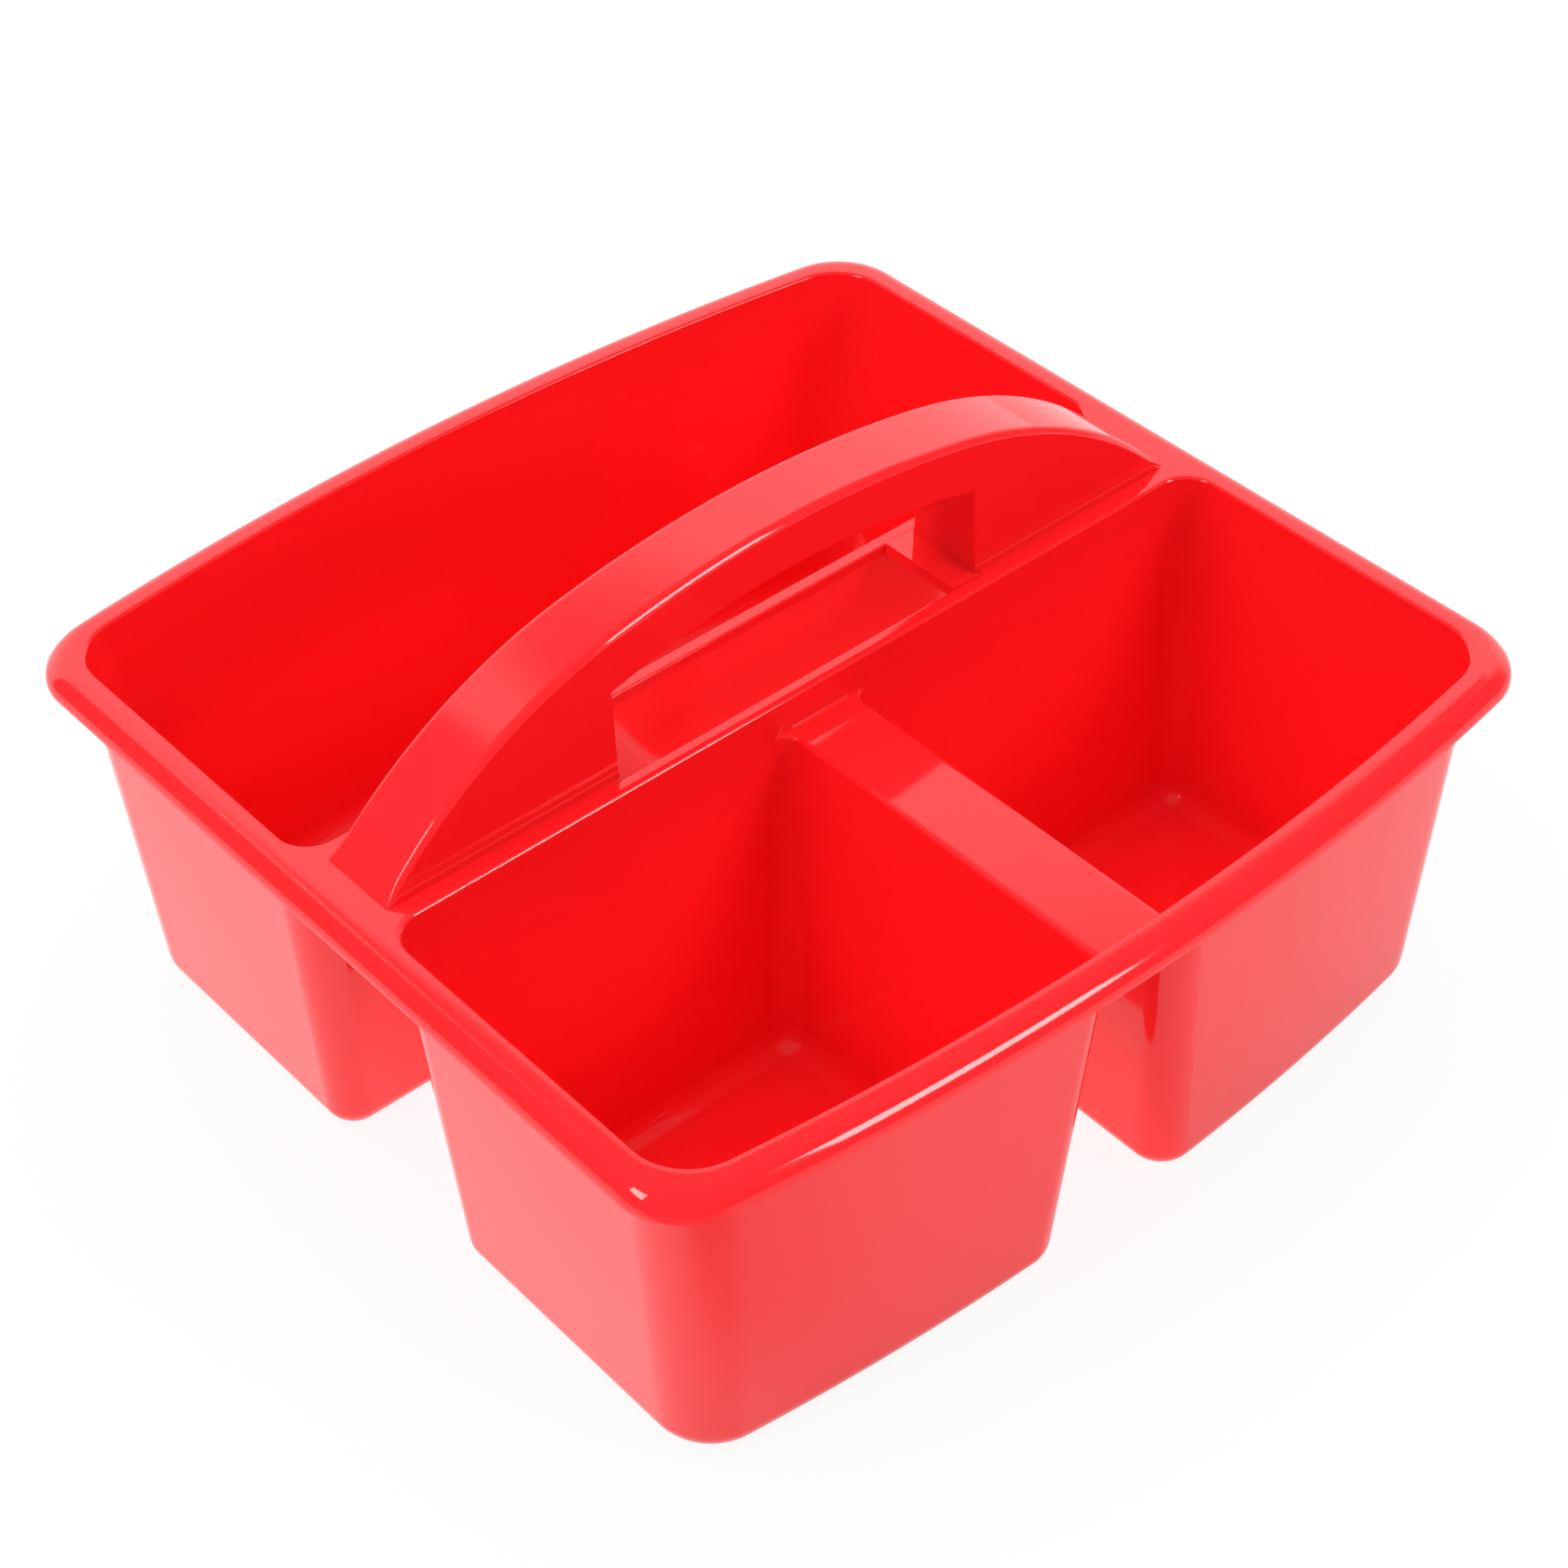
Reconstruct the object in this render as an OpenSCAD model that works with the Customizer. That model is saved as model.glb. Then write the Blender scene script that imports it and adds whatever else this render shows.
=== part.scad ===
// Three-bin art supply caddy: one long bin behind, two short bins in front,
// a common deck with a turned-down rim, and a hollow arched carrying handle.
// Millimetres, +Z up.  X runs along the handle, -Y is the two-bin front side.
// The origin is the centre of the footprint, on the surface the caddy stands on.

/* [Overall size] */
// Width over the rim, along the handle
overall_w = 235; // [200:1:280]
// Depth over the rim at its fullest, across the handle
overall_d = 234; // [205:1:280]
// Height of the deck and rim top above the table
deck_h = 90.5; // [70:0.5:120]
// How far the middle of the front and back sides bows out past their ends
side_bow = 9; // [4:0.5:14]

/* [Walls] */
// Thickness of the bin walls
wall = 1.6; // [1.2:0.1:2.2]
// Thickness of the deck
deck_t = 2.4; // [1.6:0.1:3]
// Thickness of the bin floors over the standing ring
floor_t = 2.4; // [1.8:0.1:4]
// Draft of the outer bin walls, in degrees from upright
outer_draft = 3.5; // [2:0.25:6]
// Draft of the bin walls that face the deck and the divider
inner_draft = 4.7; // [2:0.1:6]
// Radius of the outside edge between bin walls and floor
base_fillet_r = 6.6; // [4:0.1:8]
// How much more the wall corners are rounded outside than inside, at the deck
corner_relief = 2; // [0:0.25:2.5]
// Width of the standing ring under each bin
foot_w = 5; // [3:0.5:10]
// Depth of the recess inside the standing ring
foot_recess = 0.6; // [0.2:0.1:1.2]

/* [Bin corners] */
// Radius of the outer corners at the openings
corner_r = 13; // [8:0.5:20]
// Radius of the outer corners inside the base
corner_base_r = 12.6; // [8:0.2:18]
// Radius of the corners beside the deck at the openings
deck_corner_r = 7.5; // [4:0.5:12]
// Radius of the corners beside the deck inside the base
deck_corner_base_r = 5.4; // [5.2:0.1:12]
// Radius of the front bins' corners beside the divider, at its top
divider_corner_r = 4; // [2:0.5:8]
// Radius of the front bins' corners beside the divider inside the base
divider_corner_base_r = 6.7; // [5.2:0.1:12]

/* [Deck] */
// Width of the deck between the back bin and the front bins
deck_w = 28.4; // [24:0.2:40]
// Width of the slot in the deck under the hand hole
slot_w = 21.4; // [16:0.2:24]
// How far the slot stops short of the hand hole at each end
slot_inset = 7.4; // [2:0.2:12]
// Width of the divider's top between the two front bins
divider_w = 18.2; // [14:0.2:30]
// How far the divider's top lies below the deck
divider_drop = 7.8; // [5:0.1:16]

/* [Rim] */
// Corner radius of the rim's outer face
rim_corner_r = 16.5; // [13:0.5:24]
// Width of the flat ledge from a bin opening to the start of the roll
ledge_w = 3; // [2.5:0.1:6]
// Radius of the rolled-over edge
lip_r = 4.8; // [3.5:0.1:6]
// Height of the upright skirt below the rolled-over edge
skirt_h = 0.3; // [0.2:0.1:6]
// Thickness of the turned-down lip
lip_t = 2; // [1.2:0.1:2.4]

/* [Handle] */
// Length of the handle along the deck
handle_l = 212.8; // [180:0.2:214]
// Height of the handle's crown above the deck
handle_h = 39.5; // [34:0.5:50]
// Width of the handle across its foot
handle_w = 19.6; // [16:0.2:21]
// Wall thickness of the hollow handle
handle_wall = 2.2; // [1.5:0.1:3]
// Draft of the handle's front and back walls, in degrees
handle_draft = 1.5; // [0.5:0.25:2.5]
// Radius of the long edges of the handle's top band
handle_edge_r = 1.7; // [1:0.1:2.2]
// Radius of the flat middle stretch of the arch
crown_r = 237; // [200:1:300]
// Half angle that the middle stretch covers, in degrees
crown_angle = 11.5; // [8:0.5:14]
// Slope of the arch where it meets the deck, in degrees
leg_angle = 47.5; // [44:0.5:52]

/* [Hand hole] */
// Width of the hand hole
hole_w = 98; // [85:1:110]
// Height of the hand hole at its ends, above the deck
hole_end_h = 21.5; // [18:0.5:24]
// Height of the hand hole in the middle, above the deck
hole_mid_h = 28; // [24:0.5:30]
// Thickness of the two walls that close the handle at the ends of the hole
hole_end_wall = 2.2; // [1.5:0.1:3]

/* [Hidden] */

red = [0.93, 0.09, 0.1];

// Segments of a corner arc, a bowed side, a fillet and the arch
corner_n = 8;
bow_n = 12;
fillet_n = 4;
arch_n = 30;

// Half sizes of the outline through the inner edge of the ledge, at its fullest
rim_reach = ledge_w + lip_r;
open_x = overall_w / 2 - rim_reach;
open_y = overall_d / 2 - rim_reach;
deck_y = deck_w / 2;

// The bowed sides are arcs whose ends lie side_bow further in than their middle
bow_r = (open_x * open_x + side_bow * side_bow) / (2 * side_bow);
bow_y = open_y - bow_r;

// Levels
deck_under = deck_h - deck_t;
divider_top = deck_h - divider_drop;

// The front bins end beside the divider at this distance from the middle,
// measured where their walls would reach the underside of the deck
divider_x = divider_w / 2 - (deck_under - divider_top) * tan(inner_draft);

// Inward lean of a wall at height z, nothing at the underside of the deck
function lean(z, draft) = (deck_under - z) * tan(draft);

// Inside radii of the three kinds of corner, at the deck and at the table
outer_corner = [corner_r, corner_base_r];
deck_corner = [deck_corner_r, deck_corner_base_r];
divider_corner = [divider_corner_r, divider_corner_base_r];
// The smallest radius that a corner shrinks to under the floor
least_r = 0.6;

// Radius of a corner at height z: side is 0 inside the wall and 1 outside,
// and inset is how far the outline is moved in from there
function radius_at(corner, z, side, inset) =
    max(least_r, corner[1] + (corner[0] - corner[1]) * z / deck_under
                 + side * (wall + corner_relief * z / deck_under) - inset);

// Points of an arc, both ends included
function arc_points(cx, cy, r, a0, a1, n) =
    [for (i = [0:n]) let (a = a0 + (a1 - a0) * i / n) [cx + r * cos(a), cy + r * sin(a)]];

// Height of a corner's centre so that it is tangent to the bowed side
function far_centre_y(cx, r, bow) = bow_y + sqrt(pow(bow - r, 2) - cx * cx);

// Outline of a bin that reaches from the deck to the bowed side at +Y, between
// x0 and x1.  The wall at x1 leans like an outer wall, or like an inner one if it
// stands beside the divider.  corners are those at the bowed side, left and
// right, and at the deck, left and right.
function bin_outline(x0, x1, corners, beside_divider, z, side, inset = 0) =
    let (outer = lean(z, outer_draft) - side * wall + inset,
         inner = lean(z, inner_draft) - side * wall + inset,
         r = [for (c = corners) radius_at(c, z, side, inset)],
         xl = x0 + outer,
         xr = x1 - (beside_divider ? inner : outer),
         y0 = deck_y + inner,
         bow = bow_r - outer,
         cxr = xr - r[1],
         cyr = far_centre_y(cxr, r[1], bow),
         cxl = xl + r[0],
         cyl = far_centre_y(cxl, r[0], bow),
         ar = atan2(cyr - bow_y, cxr),
         al = atan2(cyl - bow_y, cxl),
         bowed = arc_points(0, bow_y, bow, ar, al, bow_n))
    concat(arc_points(cxr, cyr, r[1], 0, ar, corner_n),
           [for (i = [1:bow_n - 1]) bowed[i]],
           arc_points(cxl, cyl, r[0], al, 180, corner_n),
           arc_points(xl + r[2], y0 + r[2], r[2], 180, 270, corner_n),
           arc_points(xr - r[3], y0 + r[3], r[3], 270, 360, corner_n));

// The full-width outline, and that of a front bin beside the divider
function wide_outline(z, side, inset = 0) =
    bin_outline(-open_x, open_x, [outer_corner, outer_corner, deck_corner, deck_corner],
                false, z, side, inset);
function half_outline(z, side, inset = 0) =
    bin_outline(-open_x, -divider_x,
                [outer_corner, divider_corner, deck_corner, divider_corner],
                true, z, side, inset);

// Outline around the whole caddy, moved outward by grow
function frame_outline(grow) =
    let (r = corner_r + (rim_corner_r - corner_r) * grow / rim_reach,
         cx = open_x + grow - r,
         cy = far_centre_y(cx, r, bow_r + grow),
         a = atan2(cy - bow_y, cx),
         side = arc_points(0, bow_y, bow_r + grow, a, 180 - a, bow_n),
         back = concat(arc_points(cx, cy, r, 0, a, corner_n),
                       [for (i = [1:bow_n - 1]) side[i]],
                       arc_points(-cx, cy, r, 180 - a, 180, corner_n)))
    concat(back, [for (p = back) -p]);

function lift(outline, z) = [for (p = outline) [p[0], p[1], z]];

// Closed skin over a stack of rings: capped at both ends, or joined to itself
module skin(rings, looped = false) {
    n = len(rings[0]);
    m = len(rings);
    last = looped ? m - 1 : m - 2;
    sides = [for (j = [0:last], i = [0:n - 1])
        let (k = (i + 1) % n, u = (j + 1) % m)
        [u * n + i, u * n + k, j * n + k, j * n + i]];
    caps = looped ? [] : [[for (i = [0:n - 1]) i],
                          [for (i = [n - 1:-1:0]) (m - 1) * n + i]];
    polyhedron(points = [for (r = rings, p = r) p], faces = concat(caps, sides));
}

// One drafted tub with rounded corners and a standing ring, built at +Y, from
// the rings of its outer and inner surface
module tub(half, top) {
    function ring(z, level, side, inset) =
        lift(half ? half_outline(level, side, inset) : wide_outline(level, side, inset), z);
    inner_fillet_r = base_fillet_r - wall;
    foot_in = base_fillet_r + foot_w;
    steps = [for (i = [0:fillet_n]) 90 * i / fillet_n];
    skin(concat(
        [ring(foot_recess, 0, 1, foot_in), ring(0, 0, 1, foot_in - foot_recess)],
        [for (a = steps)
            let (z = base_fillet_r * (1 - cos(a)))
            ring(z, z, 1, base_fillet_r * (1 - sin(a)))],
        [ring(top, top, 1, 0), ring(top, top, 0, 0)],
        [for (i = [fillet_n:-1:0])
            let (a = steps[i], z = floor_t + inner_fillet_r * (1 - cos(a)))
            ring(z, z, 0, inner_fillet_r * (1 - sin(a)))]));
}

module back_bin() {
    color(red) tub(false, deck_under);
}

module front_left_bin() {
    color(red) mirror([0, 1, 0]) tub(true, divider_top);
}

module front_right_bin() {
    color(red) mirror([1, 0, 0]) mirror([0, 1, 0]) tub(true, divider_top);
}

// Upper band of wall that runs round both front bins, above the divider
module front_collar() {
    color(red) mirror([0, 1, 0])
        skin([lift(wide_outline(divider_top, 1), divider_top),
              lift(wide_outline(deck_under, 1), deck_under),
              lift(wide_outline(deck_under, 0), deck_under),
              lift(wide_outline(divider_top, 0), divider_top)], true);
}

// Saddle between the two front bins: it fills the gap between their walls,
// flush with their tops, and ends in the walls' own corner roundings.  It is a
// row of cross-sections that run from the deck to the front.
module front_divider() {
    function flank(z) =
        let (o = half_outline(z, 1),
             near = len(o) - corner_n - 1)
        concat([for (i = [near:len(o) - 1]) o[i]], [for (i = [0:corner_n]) o[i]]);
    top = lift(flank(divider_top), divider_top);
    low = lift(flank(divider_top - deck_t), divider_top - deck_t);
    color(red) mirror([0, 1, 0])
        skin([for (i = [0:len(top) - 1])
            [top[i], [-top[i][0], top[i][1], top[i][2]],
             [-low[i][0], low[i][1], low[i][2]], low[i]]]);
}

// Flat deck with the ledge round the openings, the slot under the hand hole
// and the open undersides of the two hollow handle ends
module deck() {
    post_y = handle_w / 2 - handle_wall;
    color(red) translate([0, 0, deck_under]) linear_extrude(deck_t) difference() {
        polygon(frame_outline(ledge_w));
        for (s = [0, 1]) mirror([0, s]) polygon(wide_outline(deck_under, 0));
        square([hole_w - 2 * slot_inset, slot_w], center = true);
        for (s = [0, 1]) mirror([s, 0])
            translate([cavity_start_x, -post_y])
                square([cavity_end_x - cavity_start_x, 2 * post_y]);
    }
}

// Rolled rim: quarter round, short skirt, and the hollow behind it
module rim() {
    // Points of a quarter round, w wide and h high, that starts level at the
    // end of the ledge
    function roll(w, h, top, n) =
        [for (i = [0:n])
            let (a = 90 * i / n)
            [ledge_w + w * sin(a), top - h * (1 - cos(a))]];
    inner = roll(lip_r - lip_t, lip_r - deck_t, deck_under, fillet_n);
    skirt_z = deck_h - lip_r - skirt_h;
    profile = concat([for (i = [fillet_n:-1:0]) inner[i]],
                     roll(lip_r, lip_r, deck_h, 2 * fillet_n),
                     [[rim_reach, skirt_z], [rim_reach - lip_t, skirt_z]]);
    color(red) skin([for (q = profile) lift(frame_outline(q[0]), q[1])], true);
}

// The arch: a crown arc, two shoulder arcs and two straight legs, all tangent
half_l = handle_l / 2;
crown_x = crown_r * sin(crown_angle);
crown_fall = crown_r * (1 - cos(crown_angle));
shoulder_r = ((half_l - crown_x) * sin(leg_angle)
              - (handle_h - crown_fall) * cos(leg_angle)) / (1 - cos(leg_angle - crown_angle));

// Height above the deck of a surface that lies depth inside the arch, at x
function arch_at(x, depth = 0) =
    let (cr = crown_r - depth,
         sr = shoulder_r - depth,
         sx = (crown_r - shoulder_r) * sin(crown_angle),
         sz = handle_h - crown_r + (crown_r - shoulder_r) * cos(crown_angle),
         ax = abs(x))
    ax < cr * sin(crown_angle) ? handle_h - crown_r + sqrt(cr * cr - ax * ax)
    : ax < sx + sr * sin(leg_angle) ? sz + sqrt(sr * sr - pow(ax - sx, 2))
    : (half_l - ax) * tan(leg_angle) - depth / cos(leg_angle);

// The hollow inside a handle end stops where its roof comes down to the deck
cavity_end_x = half_l - handle_wall / sin(leg_angle);
cavity_start_x = hole_w / 2 + hole_end_wall;

// Cross-section of the handle at x, depth inside its outer surface: upright
// walls with draft, and a flat top whose two edges have radius r
function handle_section(x, depth, r, n, foot) =
    let (h = arch_at(x, depth),
         w = handle_w / 2 - depth,
         side = concat([[w - foot * tan(handle_draft), foot]],
                       arc_points(w - (h - r) * tan(handle_draft) - r, h - r, r, 0, 90, n)),
         last = len(side) - 1)
    [for (p = concat(side, [for (i = [last:-1:0]) [-side[i][0], side[i][1]]]))
        [x, p[0], deck_h + p[1]]];

// Stretch of the handle's solid from x0 to x1, depth inside its outer surface
module handle_stretch(x0, x1, depth, r, n, foot) {
    steps = ceil(arch_n * (x1 - x0) / handle_l);
    skin([for (i = [0:steps])
        handle_section(x0 + (x1 - x0) * i / steps, depth, r, n, foot)]);
}

// Side view of the hand hole: straight ends and an arched top
module hand_hole() {
    half = hole_w / 2;
    rise = hole_mid_h - hole_end_h;
    r = (half * half + rise * rise) / (2 * rise);
    a = asin(half / r);
    polygon(concat([[-half, -1], [half, -1]],
                   arc_points(0, hole_mid_h - r, r, 90 - a, 90 + a, bow_n)));
}

// Hollow arch, open underneath like the rest of the moulding
module handle() {
    // How far the arch is run out below the deck before it is trimmed level
    run_out = 3;
    inner_r = 0.6;
    color(red) difference() {
        intersection() {
            handle_stretch(-half_l - run_out, half_l + run_out, 0, handle_edge_r, fillet_n,
                           -2 * run_out);
            translate([-half_l, -handle_w / 2, deck_h])
                cube([handle_l, handle_w, handle_h + 1]);
        }
        for (s = [0, 1]) mirror([s, 0, 0])
            handle_stretch(cavity_start_x, cavity_end_x, handle_wall, inner_r, 1, -1);
        handle_stretch(-hole_w / 2, hole_w / 2, handle_wall, inner_r, 1, -1);
        translate([0, handle_w / 2 + 1, deck_h]) rotate([90, 0, 0])
            linear_extrude(handle_w + 2) hand_hole();
    }
}

back_bin();
front_left_bin();
front_right_bin();
front_collar();
front_divider();
deck();
rim();
handle();
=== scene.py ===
from math import asin, atan2, cos, degrees, pi, radians, sin, sqrt, tan

import bpy
from mathutils import Matrix, Vector
from mathutils.geometry import tessellate_polygon


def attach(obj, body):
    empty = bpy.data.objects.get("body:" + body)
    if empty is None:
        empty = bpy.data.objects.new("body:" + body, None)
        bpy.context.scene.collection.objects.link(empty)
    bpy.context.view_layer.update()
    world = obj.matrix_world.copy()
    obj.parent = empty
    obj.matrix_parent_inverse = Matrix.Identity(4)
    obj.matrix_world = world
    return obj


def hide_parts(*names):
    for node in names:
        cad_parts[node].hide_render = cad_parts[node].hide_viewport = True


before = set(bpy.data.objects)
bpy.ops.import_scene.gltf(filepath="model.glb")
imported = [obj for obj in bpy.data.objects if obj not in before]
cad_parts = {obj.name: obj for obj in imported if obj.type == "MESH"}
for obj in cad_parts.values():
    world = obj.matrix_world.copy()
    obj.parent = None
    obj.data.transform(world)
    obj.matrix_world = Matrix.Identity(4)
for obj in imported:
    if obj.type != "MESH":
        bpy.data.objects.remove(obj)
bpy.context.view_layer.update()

scene = bpy.context.scene
scene.view_settings.view_transform = "Standard"
MM = 0.001

# ---------------------------------------------------------------------------
# Camera: a long lens that looks down from beyond the front left corner and is
# rolled a little.
camera_data = bpy.data.cameras.new("camera")
camera = bpy.data.objects.new("camera", camera_data)
scene.collection.objects.link(camera)
scene.camera = camera
camera_data.lens, camera_data.sensor_width = 75.16, 36.0
camera_data.clip_start, camera_data.clip_end = 0.05, 20.0
eye = Vector((-339.73, -407.28, 522.92)) * MM
aim = Vector((2.45, 0.48, 51.26)) * MM
roll = radians(-1.557)
back = (eye - aim).normalized()
right = Vector((0, 0, 1)).cross(back).normalized()
up = back.cross(right)
rolled_right = right * cos(roll) + up * sin(roll)
rolled_up = up * cos(roll) - right * sin(roll)
camera.matrix_world = Matrix.Translation(eye) @ Matrix(
    (rolled_right, rolled_up, back)).transposed().to_4x4()


# ---------------------------------------------------------------------------
# Table: a smooth, seamless white sheet on which the caddy stands.  It glows a
# little, more behind the caddy than in front, and strongly in the gaps between
# the bins: painted light that stands in for the light that thin walls let
# through.  Seen in reflections, it is painted darker near the front left corner
# and brighter on the left.
class Value:
    """A node socket that takes part in sums, so that a mask is written as a formula."""

    def __init__(self, nodes, socket):
        self.nodes, self.socket = nodes, socket

    def _with(self, operation, *operands):
        node = self.nodes.add("ShaderNodeMath", {"operation": operation},
                              dict(enumerate(operands)))
        return Value(self.nodes, node.outputs[0])

    def __add__(self, other):
        return self._with("ADD", self, other)

    __radd__ = __add__

    def __sub__(self, other):
        return self._with("SUBTRACT", self, other)

    def __rsub__(self, other):
        return self._with("SUBTRACT", other, self)

    def __mul__(self, other):
        return self._with("MULTIPLY", self, other)

    __rmul__ = __mul__

    def at_least(self, other):
        return self._with("MAXIMUM", self, other)

    def ramp(self, start, end):
        """0 at start, 1 at end, smooth between."""
        node = self.nodes.add("ShaderNodeMapRange", {"interpolation_type": "SMOOTHSTEP"},
                              {"Value": self, "From Min": start, "From Max": end})
        return Value(self.nodes, node.outputs[0])


class Nodes:
    """The node tree of one material or of the world."""

    def __init__(self, owner):
        owner.use_nodes = True
        self.tree = owner.node_tree
        self.tree.nodes.clear()

    def add(self, kind, settings=None, sockets=None):
        node = self.tree.nodes.new(kind)
        for name, value in (settings or {}).items():
            setattr(node, name, value)
        for name, value in (sockets or {}).items():
            if isinstance(value, Value):
                value = value.socket
            if isinstance(value, bpy.types.NodeSocket):
                self.tree.links.new(value, node.inputs[name])
            else:
                node.inputs[name].default_value = value
        return node

    def value(self, node, output=0):
        return Value(self, node.outputs[output])

    def split(self, coordinates):
        """X, Y and Z of the given texture coordinates."""
        place = self.add("ShaderNodeTexCoord").outputs[coordinates]
        parts = self.add("ShaderNodeSeparateXYZ", sockets={"Vector": place})
        return [self.value(parts, axis) for axis in "XYZ"]

    def glow(self, kind, strength):
        """White light of the given strength: an Emission or a Background."""
        return self.add(kind, sockets={"Color": (1, 1, 1, 1), "Strength": strength}).outputs[0]

    def blend(self, share, first, second):
        """The first shader, with the second over it by the given share."""
        return self.add("ShaderNodeMixShader",
                        sockets={0: share, 1: first, 2: second}).outputs[0]


def white_table():
    """Matt white that glows a little, with a painted glow in the gaps between the bins and
    painted darker and brighter patches seen in reflections alone.  Its masks are drawn in
    metres from the middle of the caddy."""
    material = bpy.data.materials.new("white_table")
    nodes = Nodes(material)
    east, north, _ = nodes.split("Object")
    path = nodes.add("ShaderNodeLightPath")
    mirrored, direct = (nodes.value(path, "Is %s Ray" % kind) for kind in ("Glossy", "Camera"))

    # White to the camera and in reflections; for every ray a painted glow behind the caddy, which
    # lights it from there.
    glowing = (north.ramp(-0.35, -0.05) * 0.25).at_least(direct * 0.9).at_least(mirrored * 0.65)
    # Painted reflections: seen in mirrors alone, the table is darker near the front left corner
    # and brighter on the left.
    painted_dark_reflection = east.ramp(-0.02, -0.13) * north.ramp(-0.1, -0.14)
    painted_bright_reflection = east.ramp(-0.07, -0.12) * north.ramp(-0.16, -0.06)
    # Painted light: the table glows strongly under the crossbar and the divider, so that the gaps
    # between the bins look lit through their thin walls.
    under_crossbar = (north * north).ramp(0.0006, 0.0002) * (east * east).ramp(0.013, 0.009)
    under_divider = ((east * east).ramp(0.0006, 0.0002)
                     * north.ramp(0.0, -0.03) * north.ramp(-0.12, -0.1))
    painted_gap_glow = under_crossbar.at_least(under_divider) * (1 - mirrored - direct)

    matt = nodes.add("ShaderNodeBsdfDiffuse", sockets={"Color": (0.75, 0.75, 0.75, 1)})
    # The sheet's lights: black for the painted dark reflection, plain white, a painted bright
    # reflection and the painted glow in the gaps.
    black, white, bright, gap_glow_light = (
        nodes.glow("ShaderNodeEmission", strength) for strength in (0.0, 1.0, 1.15, 2.4))
    sheet = nodes.blend(glowing, matt.outputs[0], white)
    # Mirrors see the table painted a little darker everywhere, most of all near the front left
    # corner.
    sheet = nodes.blend(mirrored * (painted_dark_reflection * 0.45 + 0.1), sheet, black)
    sheet = nodes.blend(mirrored * painted_bright_reflection, sheet, bright)
    sheet = nodes.blend(painted_gap_glow, sheet, gap_glow_light)
    nodes.add("ShaderNodeOutputMaterial", sockets={"Surface": sheet})
    return material


half_table = 6000.0 * MM
table_mesh = bpy.data.meshes.new("table")
table_mesh.from_pydata([(x * half_table, y * half_table, 0)
                        for x, y in ((-1, -1), (1, -1), (1, 1), (-1, 1))], [], [(0, 1, 2, 3)])
table_mesh.materials.append(white_table())
table = bpy.data.objects.new("table", table_mesh)
scene.collection.objects.link(table)

# ---------------------------------------------------------------------------
# Light: a white backdrop behind the caddy, a dim room above and in front of it,
# and two soft boxes, a square one on the left and a flat one on the right.
world = bpy.data.worlds.new("studio")
scene.world = world
studio = Nodes(world)
# The parts of a ray's direction.
east, north, height = studio.split("Generated")
path = studio.add("ShaderNodeLightPath")
on_backdrop = ((height + east * 0.1).ramp(0.79, 0.715)
               * (east + north * 0.53).ramp(-0.04, 0.08) * north.ramp(-0.3, 0.15))
overhead = height.ramp(0.15, 0.9) * (north.ramp(-0.6, 0.2) * 0.7 + 0.3)
low, high, room, backdrop, white = (
    studio.glow("ShaderNodeBackground", strength) for strength in (0.3, 2.3, 0.25, 1.4, 1.0))
around = studio.blend(studio.value(path, "Is Glossy Ray"), studio.blend(overhead, low, high),
                      studio.blend(on_backdrop, room, backdrop))
around = studio.blend(studio.value(path, "Is Camera Ray"), around, white)
studio.add("ShaderNodeOutputWorld", sockets={"Surface": around})

box_distance, caddy_middle = 1.5, Vector((0, 0, 0.06))


def soft_box(name, towards, width, height, power):
    """An area lamp in the given direction from the caddy, turned towards it."""
    data = bpy.data.lights.new(name, "AREA")
    data.shape = "RECTANGLE"
    data.size, data.size_y = width, height
    data.energy = power
    box = bpy.data.objects.new(name, data)
    box.location = Vector(towards).normalized() * box_distance + caddy_middle
    box.rotation_euler = Vector(towards).to_track_quat("Z", "Y").to_euler()
    scene.collection.objects.link(box)


soft_box("soft_box_left", (-0.8, 0.1, 0.6), 0.36, 0.36, 4.2)
soft_box("soft_box_right", (0.33, -0.79, 0.49), 0.44, 0.3, 5.0)

# ---------------------------------------------------------------------------
# Back bin: the long tub behind the handle, moulded in one with the rest in red
# plastic.  Its thin walls are drafted to leave the mould, its corners and its
# base edge are rounded, and it stands on a low ring.
open_x, open_y = 109.7, 109.2
side_bow = 9.0
bow_r = (open_x ** 2 + side_bow ** 2) / (2 * side_bow)
bow_y = open_y - bow_r
deck_y = 14.2
deck_h, deck_t = 90.5, 2.4
deck_under = deck_h - deck_t
wall, floor_t = 1.6, 2.4
outer_draft, inner_draft = 3.5, 4.7
# Corner radii at the mouth and at the base.
outer_corner, deck_corner = (13.0, 12.6), (7.5, 5.4)
corner_relief, least_corner_r = 2.0, 0.6
base_fillet_r = 6.6
foot_w, foot_recess = 5.0, 0.6
mouth_edge, mouth_strip, mouth_bevel = 0.6, 1.4, 7.5
crown_at, ledge_crown_r = 1.9, 18.0
corner_steps, bow_steps, fillet_steps = 18, 44, 8
sharp_angle, even_weight = 32, 90


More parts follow.
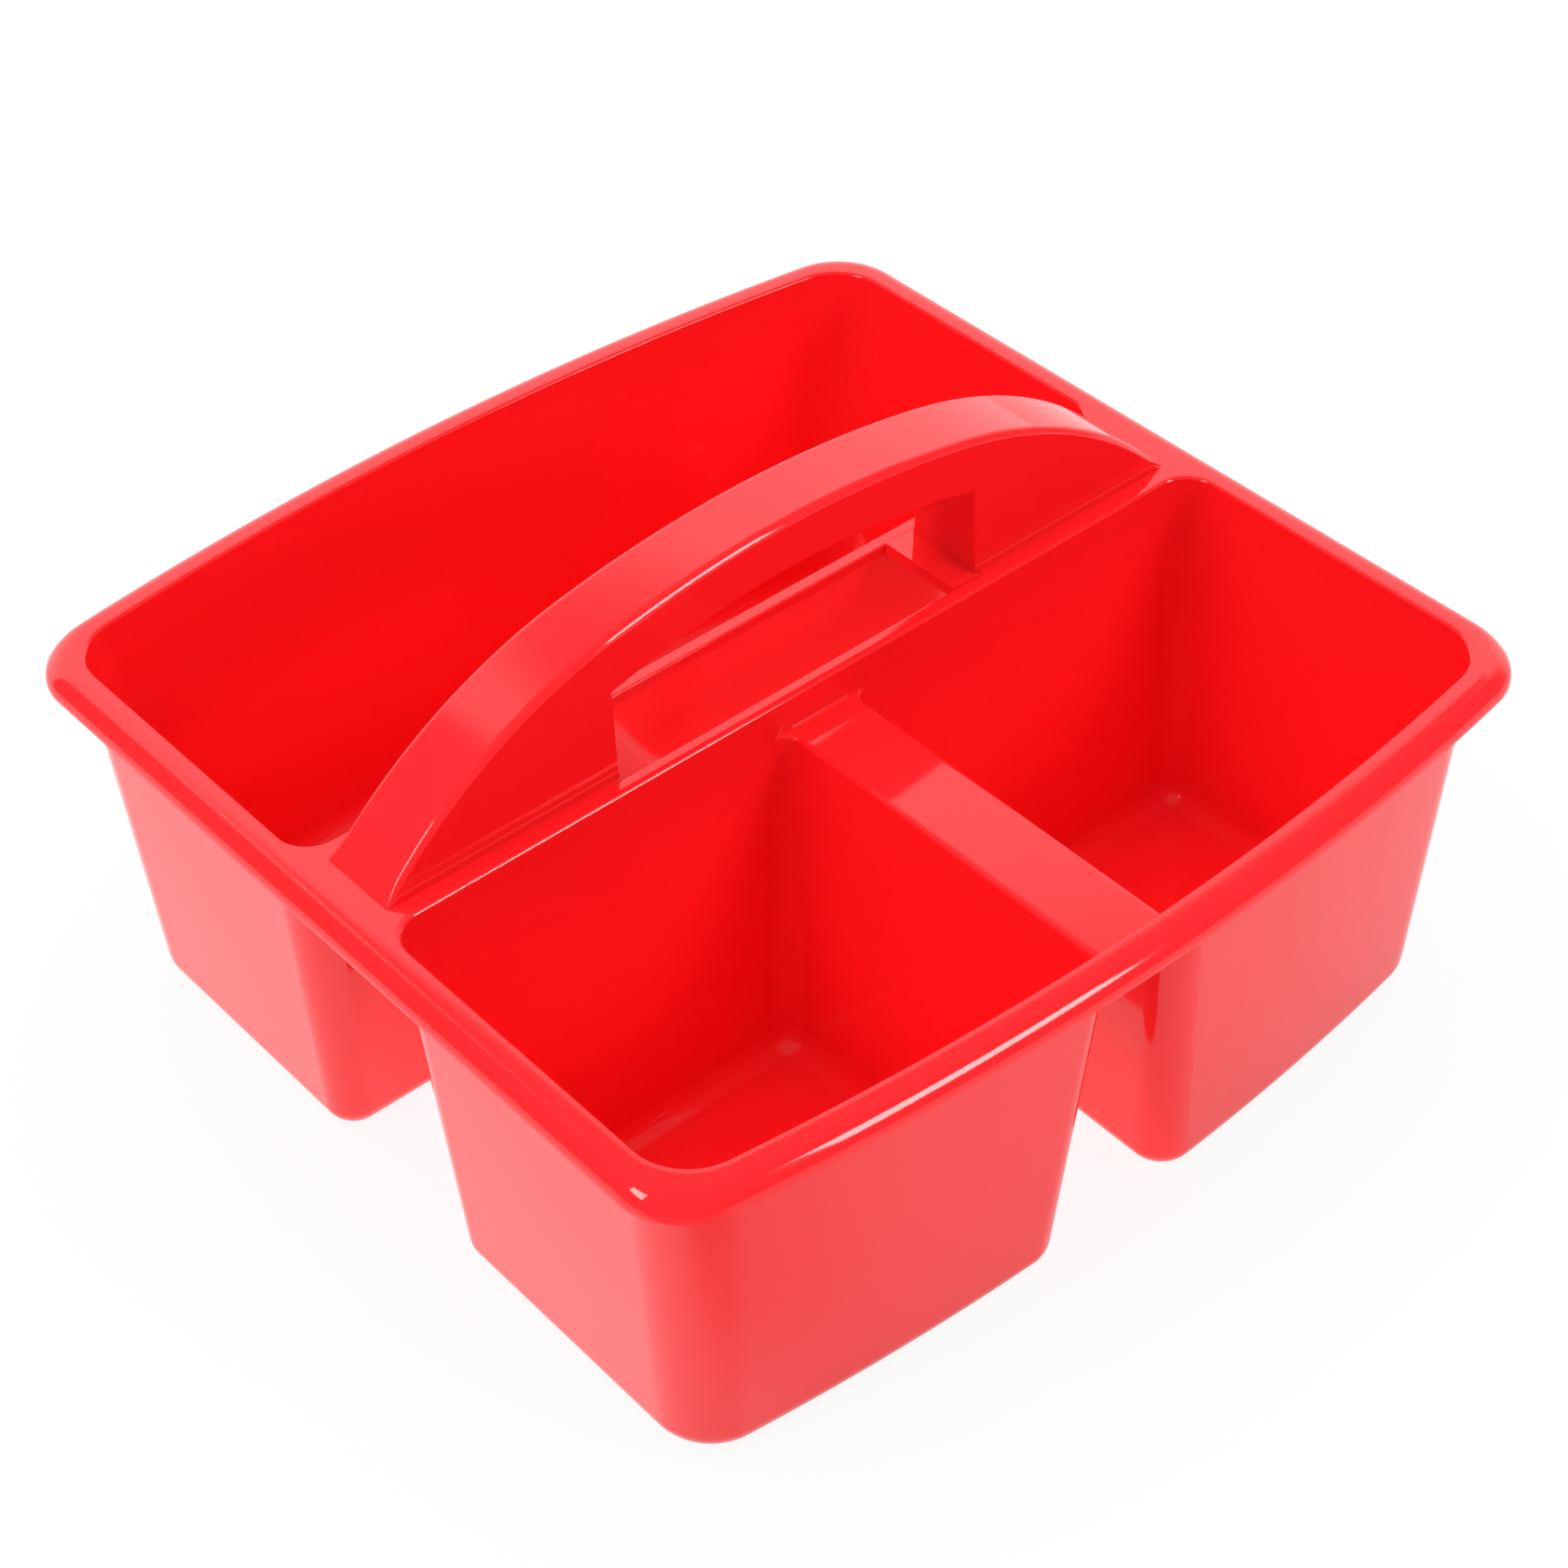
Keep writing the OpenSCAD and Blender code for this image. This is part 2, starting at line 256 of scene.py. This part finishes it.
def red_plastic():
    """Glossy plastic, coloured right through, with a skin that is slightly uneven in
    colour, gloss and level, as it comes out of the mould."""
    material = bpy.data.materials.new("red_plastic")
    nodes = Nodes(material)
    place = nodes.add("ShaderNodeTexCoord").outputs["Object"]
    cloud = nodes.add("ShaderNodeTexNoise", sockets={
        "Vector": place, "Scale": 22.0, "Detail": 2.0})
    # Sockets 0, 6 and 7 are the factor and the two colours.
    colour = nodes.add("ShaderNodeMix", {"data_type": "RGBA"}, {
        0: nodes.value(cloud), 6: (0.92, 0.011, 0.015, 1), 7: (0.94, 0.014, 0.018, 1)})
    smear = nodes.add("ShaderNodeTexNoise", sockets={
        "Vector": place, "Scale": 90.0, "Detail": 4.0, "Roughness": 0.6})
    uneven = nodes.add("ShaderNodeTexNoise", sockets={
        "Vector": place, "Scale": 35.0, "Detail": 1.0})
    bump = nodes.add("ShaderNodeBump", sockets={
        "Strength": 0.02, "Distance": 0.0004, "Height": nodes.value(uneven)})
    skin = nodes.add("ShaderNodeBsdfPrincipled", sockets={
        "Base Color": colour.outputs[2], "Roughness": nodes.value(smear) * 0.04 + 0.05,
        "IOR": 1.5, "Normal": bump.outputs[0]})
    nodes.add("ShaderNodeOutputMaterial", sockets={"Surface": skin.outputs[0]})
    return material


red = red_plastic()


def arc(cx, cy, r, a0, a1, steps):
    """Points of an arc round (cx, cy) from a0 to a1 degrees."""
    return [(cx + r * cos(radians(a0 + (a1 - a0) * i / steps)),
             cy + r * sin(radians(a0 + (a1 - a0) * i / steps))) for i in range(steps + 1)]


def quarter(steps):
    """Angles over a quarter turn, in radians."""
    return [pi / 2 * i / steps for i in range(steps + 1)]


def lift(outline, z):
    """An outline at height z."""
    return [(x, y, z) for x, y in outline]


def lean(z, draft):
    """How far a drafted wall has come inward at height z."""
    return (deck_under - z) * tan(radians(draft))


def far_centre_y(cx, r, bow):
    """Where a corner of radius r is centred that touches the bowed side."""
    return bow_y + sqrt((bow - r) ** 2 - cx * cx)


def bin_outline(x0, x1, corners, beside_divider, z, side, inset=0.0):
    """Outline of a bin at height z, from the crossbar out to the bowed side at +Y.
    side is 0 on the inside of the wall and 1 on the outside; inset moves it inward."""
    outer = lean(z, outer_draft) - side * wall + inset
    inner = lean(z, inner_draft) - side * wall + inset
    far_left, far_right, near_left, near_right = (
        max(least_corner_r, base + (mouth - base) * z / deck_under
            + side * (wall + corner_relief * z / deck_under) - inset)
        for mouth, base in corners)
    xl = x0 + outer
    xr = x1 - (inner if beside_divider else outer)
    y0 = deck_y + inner
    bow = bow_r - outer
    xfr, xfl = xr - far_right, xl + far_left
    yfr, yfl = far_centre_y(xfr, far_right, bow), far_centre_y(xfl, far_left, bow)
    ar, al = degrees(atan2(yfr - bow_y, xfr)), degrees(atan2(yfl - bow_y, xfl))
    return (arc(xfr, yfr, far_right, 0, ar, corner_steps)
            + arc(0, bow_y, bow, ar, al, bow_steps)[1:-1]
            + arc(xfl, yfl, far_left, al, 180, corner_steps)
            + arc(xl + near_left, y0 + near_left, near_left, 180, 270, corner_steps)
            + arc(xr - near_right, y0 + near_right, near_right, 270, 360, corner_steps))


def wide_outline(z, side, inset=0.0):
    """Outline of the back bin, and of the collar round both front bins."""
    return bin_outline(-open_x, open_x, [outer_corner, outer_corner, deck_corner, deck_corner],
                       False, z, side, inset)


def tub_rings(outline, top):
    """Rings of a tub from its foot, up the outside to the given top rings and down
    the inside to the floor."""
    inner_r = base_fillet_r - wall
    foot_in = base_fillet_r + foot_w
    rings = [lift(outline(0, 1, foot_in), foot_recess),
             lift(outline(0, 1, foot_in - foot_recess), 0)]
    for a in quarter(fillet_steps):
        z = base_fillet_r * (1 - cos(a))
        rings.append(lift(outline(z, 1, base_fillet_r * (1 - sin(a))), z))
    rings += top
    for a in reversed(quarter(fillet_steps)):
        z = floor_t + inner_r * (1 - cos(a))
        rings.append(lift(outline(z, 0, inner_r * (1 - sin(a))), z))
    return rings


def ledge_top(grow):
    """Height of the slightly crowned ledge at the distance grow from a mouth."""
    return deck_h - (grow - crown_at) ** 2 / (2 * ledge_crown_r)


def edge_profile(width, depth, bevel, a0=45, a1=57, steps=6):
    """Points over an edge, as distances back from its wall and down from its top: two
    tight bends and, from a0 to a1 degrees, one with bevel times their radius, so that
    the edge is almost bevelled there."""
    points = [(0.0, 0.0)]
    for start, end, r in ((0, a0, 1.0), (a0, a1, bevel), (a1, 90, 1.0)):
        b, d = points[-1]
        for i in range(1, steps + 1):
            a = radians(start + (end - start) * i / steps)
            points.append((b - r * (sin(a) - sin(radians(start))),
                           d + r * (cos(radians(start)) - cos(a))))
    far, low = points[-1]
    return [(width * (b - far) / -far, depth * d / low) for b, d in points]


def mouth_rings():
    """Rings over the rounded edge of a mouth, from the outside of the wall inward."""
    rings = [lift(wide_outline(deck_under, 1), deck_under),
             lift(wide_outline(deck_under, 0, -mouth_strip), deck_under),
             lift(wide_outline(deck_under, 0, -mouth_strip), ledge_top(mouth_strip))]
    for from_wall, down in edge_profile(mouth_edge, mouth_edge, mouth_bevel):
        rings.append(lift(wide_outline(deck_under, 0, -from_wall),
                          ledge_top(mouth_edge) - down))
    return rings


def skin_mesh(name, rings, mirror=(1, 1), looped=False):
    """A closed skin over a stack of rings, which is capped at both ends or looped."""
    n, m = len(rings[0]), len(rings)
    points = [(x * mirror[0] * MM, y * mirror[1] * MM, z * MM)
              for ring in rings for x, y, z in ring]
    faces = [(j * n + i, j * n + (i + 1) % n, (j + 1) % m * n + (i + 1) % n, (j + 1) % m * n + i)
             for j in range(m if looped else m - 1) for i in range(n)]
    if not looped:
        faces += [tuple(reversed(range(n))), tuple((m - 1) * n + i for i in range(n))]
    if mirror[0] * mirror[1] < 0:
        faces = [tuple(reversed(f)) for f in faces]
    mesh = bpy.data.meshes.new(name)
    mesh.from_pydata(points, [], faces)
    return mesh


def mould(name, mesh, node=True):
    """Makes a region of the moulding from its mesh.  It takes the place of the CAD node
    of the same name, unless it is a small form that has none."""
    mesh.polygons.foreach_set("use_smooth", [True] * len(mesh.polygons))
    mesh.validate()
    mesh.set_sharp_from_angle(angle=radians(sharp_angle))
    mesh.materials.append(red)
    piece = bpy.data.objects.new(name + "_moulding", mesh)
    scene.collection.objects.link(piece)
    even = piece.modifiers.new("even_normals", "WEIGHTED_NORMAL")
    even.keep_sharp = True
    even.weight = even_weight
    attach(piece, "root")
    if node:
        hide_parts(name)


def mould_rings(name, rings, mirror=(1, 1), looped=False, node=True):
    mould(name, skin_mesh(name, rings, mirror, looped), node)


mould_rings("back_bin", tub_rings(wide_outline, mouth_rings()))

# ---------------------------------------------------------------------------
# Front bins: two short tubs of the same moulding.  They end at the top of the
# divider, where the wall beside it turns over into the divider's flat top.
divider_w, divider_drop, divider_edge_r = 18.2, 7.8, 1.0
divider_corner = (4.0, 6.7)
divider_top = deck_h - divider_drop
divider_x = divider_w / 2 - lean(divider_top, inner_draft)


def half_outline(z, side, inset=0.0):
    """Outline of one front bin."""
    return bin_outline(-open_x, -divider_x,
                       [outer_corner, divider_corner, deck_corner, divider_corner],
                       True, z, side, inset)


def edge_weights():
    """1 where a front bin's outline runs beside the divider, fading to 0 round the
    corners at both of its ends."""
    rise = [i / corner_steps for i in range(corner_steps + 1)]
    ease = [t * t * (3 - 2 * t) for t in rise]
    plain = [0.0] * (bow_steps - 1 + 2 * (corner_steps + 1))
    return list(reversed(ease)) + plain + ease


def front_top_rings():
    """Rings over the top of a front bin's wall, rounded beside the divider alone."""
    weights = edge_weights()
    rings = [lift(half_outline(divider_top, 1), divider_top)]
    for a in quarter(fillet_steps):
        z = divider_top - divider_edge_r * (1 - cos(a))
        plain = half_outline(z, 0)
        turned = half_outline(z, 0, -divider_edge_r * (1 - sin(a)))
        rings.append([(p[0] + (q[0] - p[0]) * w, p[1] + (q[1] - p[1]) * w, z)
                      for p, q, w in zip(plain, turned, weights)])
    return rings


for name, mirror in (("front_left_bin", (1, -1)), ("front_right_bin", (-1, -1))):
    mould_rings(name, tub_rings(half_outline, front_top_rings()), mirror)

# ---------------------------------------------------------------------------
# Front collar: the band of the same wall that runs round both front bins, from
# the divider's top to the rounded edge of the mouth, moulded in one with them.
mould_rings("front_collar",
            [lift(wide_outline(divider_top, 1), divider_top)] + mouth_rings()
            + [lift(wide_outline(divider_top, 0), divider_top)], (1, -1), looped=True)

# ---------------------------------------------------------------------------
# Divider: the flat saddle between the front bins, moulded in one with them and
# open below between their walls.  Its ends flare where it meets the collar, and
# a small fillet runs along the foot of the step up to the crossbar.
root_r, root_bevel, root_sink, root_short = 0.7, 7.5, 0.3, 1.0


def flank(z):
    """The part of a front bin's outside that runs beside the divider."""
    outline = half_outline(z, 1)
    return lift(outline[-corner_steps - 1:] + outline[:corner_steps + 1], z)


mould_rings("front_divider",
            [[a, (-a[0], a[1], a[2]), (-b[0], b[1], b[2]), b]
             for a, b in zip(flank(divider_top), flank(divider_top - deck_t))], (1, -1))

root_y = -deck_y - lean(divider_top, inner_draft)
root_profile = [(root_y + root_sink, divider_top - root_sink)] + [
    (root_y - out, divider_top + up) for out, up in edge_profile(root_r, root_r, root_bevel)]
mould_rings("divider_root", [[(x, y, z) for y, z in root_profile]
                             for x in (divider_x - root_short, root_short - divider_x)],
            node=False)

# ---------------------------------------------------------------------------
# Deck: the flat ledge round the mouths and the crossbar that carries the
# handle, moulded in one with the bins.  It has a slot under the hand hole and
# an opening under each hollow end of the handle.
ledge_w, lip_r, skirt_h, lip_t = 3.0, 4.8, 0.3, 2.0
rim_reach = ledge_w + lip_r
corner_r, rim_corner_r = 13.0, 16.5
handle_l, handle_w, handle_wall, leg_angle = 212.8, 19.6, 2.2, 47.5
hole_w, hole_end_wall = 98.0, 2.2
slot_w, slot_inset, sill_w, sill_h = 21.4, 7.4, 0.5, 0.4
# How far the slot and its shelves run in under their neighbours.
under_wall, under_sill = 1.0, 0.1
cavity_start_x = hole_w / 2 + hole_end_wall
cavity_end_x = handle_l / 2 - handle_wall / sin(radians(leg_angle))


def frame_outline(grow):
    """Outline round all three mouths, at the distance grow from them."""
    r = corner_r + (rim_corner_r - corner_r) * grow / rim_reach
    cx = open_x + grow - r
    cy = far_centre_y(cx, r, bow_r + grow)
    a = degrees(atan2(cy - bow_y, cx))
    half = (arc(cx, cy, r, 0, a, corner_steps)
            + arc(0, bow_y, bow_r + grow, a, 180 - a, bow_steps)[1:-1]
            + arc(-cx, cy, r, 180 - a, 180, corner_steps))
    return half + [(-x, -y) for x, y in half]


def box_outline(x0, x1, half_y):
    """A rectangle centred on the crossbar."""
    return [(x0, -half_y), (x1, -half_y), (x1, half_y), (x0, half_y)]


def plate_mesh(name, loops, low, high):
    """A flat plate: the first loop is its edge, the others are holes."""
    flat = [p for loop in loops for p in loop]
    count = len(flat)
    faces = []
    for a, b, c in tessellate_polygon([lift(loop, 0) for loop in loops]):
        (ax, ay), (bx, by), (cx, cy) = flat[a], flat[b], flat[c]
        if (bx - ax) * (cy - ay) - (by - ay) * (cx - ax) < 0:
            b, c = c, b
        faces += [(a, b, c), (a + count, c + count, b + count)]
    start = 0
    for k, loop in enumerate(loops):
        n = len(loop)
        area = sum(loop[i][0] * loop[(i + 1) % n][1] - loop[(i + 1) % n][0] * loop[i][1]
                   for i in range(n))
        outward = (area > 0) == (k == 0)
        for i in range(n):
            a, b = start + i, start + (i + 1) % n
            faces.append((a, a + count, b + count, b) if outward
                         else (b, b + count, a + count, a))
        start += n
    mesh = bpy.data.meshes.new(name)
    mesh.from_pydata([(x * MM, y * MM, z * MM) for z in (high, low) for x, y in flat], [], faces)
    return mesh


mouth = wide_outline(deck_under, 0, -mouth_strip)
post_y = handle_w / 2 - handle_wall
slot_x = hole_w / 2 + under_wall
mould("deck", plate_mesh("deck", [
    frame_outline(crown_at), mouth, [(x, -y) for x, y in mouth],
    box_outline(-slot_x, slot_x, slot_w / 2 + sill_w),
    box_outline(cavity_start_x, cavity_end_x, post_y),
    box_outline(-cavity_end_x, -cavity_start_x, post_y)], deck_under, deck_h))

# The long edges of the slot are rounded over the whole hand hole.
sill = [lift(box_outline(-slot_x, slot_x, slot_w / 2 + sill_w * (1 - sin(a))),
             deck_h - sill_h * (1 - cos(a))) for a in quarter(fillet_steps)]
sill += [lift(box_outline(-slot_x, slot_x, slot_w / 2), deck_under),
         lift(box_outline(-slot_x, slot_x, slot_w / 2 + sill_w), deck_under)]
mould_rings("slot_sill", sill, looped=True, node=False)

# A sloping shelf closes each end of the slot and runs in under the end wall of
# the handle.  The four heights are those of its corners above the deck.
slot_end = hole_w / 2 - slot_inset
for side, x0, x1, heights in (("left", -slot_x, -slot_end, (-1.1, -1.1, 0.1, 0.1)),
                              ("right", slot_end, slot_x, (0.4, -0.1, 0.0, 0.5))):
    outline = box_outline(x0, x1, slot_w / 2 + under_sill)
    mould_rings("slot_shelf_" + side,
                [lift(outline, deck_under),
                 [(x, y, deck_h + up) for (x, y), up in zip(outline, heights)]], node=False)

# ---------------------------------------------------------------------------
# Rim: the edge of the moulding, rolled over all round, hollow behind and with a
# short skirt.
roll_bevel, roll_steps, roll_drop = 2.6, 8, 0.03
ledge_steps = (1.9, 2.3, 2.7, 3.1)

inner_roll = [lift(frame_outline(ledge_w + (lip_r - lip_t) * sin(a)),
                   deck_under - (lip_r - deck_t) * (1 - cos(a)))
              for a in reversed(quarter(fillet_steps))]
outer_roll = [lift(frame_outline(rim_reach - back), deck_h - roll_drop - down)
              for back, down in edge_profile(lip_r, lip_r, roll_bevel, steps=roll_steps)[1:]]
skirt = [lift(frame_outline(grow), deck_h - lip_r - skirt_h)
         for grow in (rim_reach, rim_reach - lip_t)]
rim_rings = (inner_roll + [lift(frame_outline(crown_at), deck_under)]
             + [lift(frame_outline(grow), ledge_top(grow)) for grow in ledge_steps]
             + outer_roll + skirt)
mould_rings("rim", list(reversed(rim_rings)), looped=True)

# ---------------------------------------------------------------------------
# Handle: a hollow arch with drafted walls and a flat top band, moulded in one
# with the deck and open below, with an arched hole for the hand.  A fine bead
# runs along its foot.
handle_h, crown_r, crown_angle = 39.5, 237.0, 11.5
hole_end_h, hole_mid_h, hole_steps = 21.5, 28.0, 48
handle_draft, bead_h, bead_t = 1.5, 1.8, 0.25
# Radius of the long edges: in full, at least, and as a share of the arch's height.
edge_r, least_edge_r, edge_share = 1.7, 0.3, 0.4
edge_bevel, bevel_start, bevel_end = 3.75, 48, 58
hollow_edge_r, hollow_edge_steps = 0.6, 2
# The arch is made too long and too deep by these, and then trimmed at the deck.
run_out, foot_depth = 3.0, 6.0
# How far the cutting solids reach past the faces that they cut.
past = 1.0
half_l = handle_l / 2
handle_lean = tan(radians(handle_draft))
crown_x = crown_r * sin(radians(crown_angle))
crown_fall = crown_r * (1 - cos(radians(crown_angle)))
shoulder_r = (((half_l - crown_x) * sin(radians(leg_angle))
               - (handle_h - crown_fall) * cos(radians(leg_angle)))
              / (1 - cos(radians(leg_angle - crown_angle))))


def arch_at(x, depth=0.0):
    """Height above the deck, at x, of the surface that lies depth inside the arch."""
    cr, sr = crown_r - depth, shoulder_r - depth
    sx = (crown_r - shoulder_r) * sin(radians(crown_angle))
    sz = handle_h - crown_r + (crown_r - shoulder_r) * cos(radians(crown_angle))
    ax = abs(x)
    if ax < cr * sin(radians(crown_angle)):
        return handle_h - crown_r + sqrt(cr * cr - ax * ax)
    if ax < sx + sr * sin(radians(leg_angle)):
        return sz + sqrt(sr * sr - (ax - sx) ** 2)
    return (half_l - ax) * tan(radians(leg_angle)) - depth / cos(radians(leg_angle))


def outer_side(x):
    """One side of the arch at x, from below the deck over the bead and the long edge,
    as distances from the middle and heights above the deck."""
    h, w = arch_at(x), handle_w / 2
    r = min(edge_r, max(least_edge_r, edge_share * h))
    step_h = min(bead_h, h - r - bead_t)
    return ([(w + foot_depth * handle_lean, -foot_depth),
             (w - step_h * handle_lean, step_h - bead_t),
             (w - step_h * handle_lean - bead_t, step_h)]
            + [(w - bead_t - (h - r) * handle_lean - back, h - down) for back, down in
               reversed(edge_profile(r, r, edge_bevel, bevel_start, bevel_end))])


def hollow_side(x):
    """The same for the hollow inside the arch."""
    h, w, r = arch_at(x, handle_wall), handle_w / 2 - handle_wall, hollow_edge_r
    return ([(w + past * handle_lean, -past)]
            + arc(w - (h - r) * handle_lean - r, h - r, r, 0, 90, hollow_edge_steps))


def solid(name, rings):
    """A plain solid to cut with or to be cut."""
    piece = bpy.data.objects.new(name, skin_mesh(name, rings))
    scene.collection.objects.link(piece)
    return piece


def stretch(name, side_at, x0, x1, count):
    """A solid along the arch, whose two sides at x are side_at(x)."""
    rings = []
    for i in range(count + 1):
        x = x0 + (x1 - x0) * i / count
        side = side_at(x)
        rings.append([(x, y, deck_h + z) for y, z in side]
                     + [(x, -y, deck_h + z) for y, z in reversed(side)])
    return solid(name, rings)


def prism(name, side_view, half_y):
    """A solid across the handle that has the given side view."""
    return solid(name, [[(x, y, deck_h + z) for x, z in side_view]
                        for y in (half_y, -half_y)])


def hole_side_view():
    """The hand hole: upright ends under a flat arc, and open below the deck."""
    half = hole_w / 2
    rise = hole_mid_h - hole_end_h
    r = (half * half + rise * rise) / (2 * rise)
    a = degrees(asin(half / r))
    return [(-half, -past), (half, -past)] + arc(0, hole_mid_h - r, r, 90 - a, 90 + a, hole_steps)


def cut(target, cutter, operation="DIFFERENCE"):
    step = target.modifiers.new(cutter.name, "BOOLEAN")
    step.operation = operation
    step.object = cutter
    step.solver = "EXACT"


arch = stretch("arch", outer_side, -half_l - run_out, half_l + run_out, 180)
above_deck = prism("above_deck", [(-half_l, 0), (half_l, 0), (half_l, handle_h + past),
                                  (-half_l, handle_h + past)], handle_w)
cutters = [stretch("left_hollow", hollow_side, -cavity_end_x, -cavity_start_x, 40),
           stretch("right_hollow", hollow_side, cavity_start_x, cavity_end_x, 40),
           stretch("channel", hollow_side, -hole_w / 2, hole_w / 2, 80),
           prism("hand_hole", hole_side_view(), handle_w / 2 + past)]
cut(arch, above_deck, "INTERSECT")
for cutter in cutters:
    cut(arch, cutter)
bpy.context.view_layer.update()
handle_mesh = bpy.data.meshes.new_from_object(
    arch.evaluated_get(bpy.context.evaluated_depsgraph_get()))
handle_mesh.name = "handle"
for done in [arch, above_deck] + cutters:
    bpy.data.objects.remove(done)
mould("handle", handle_mesh)
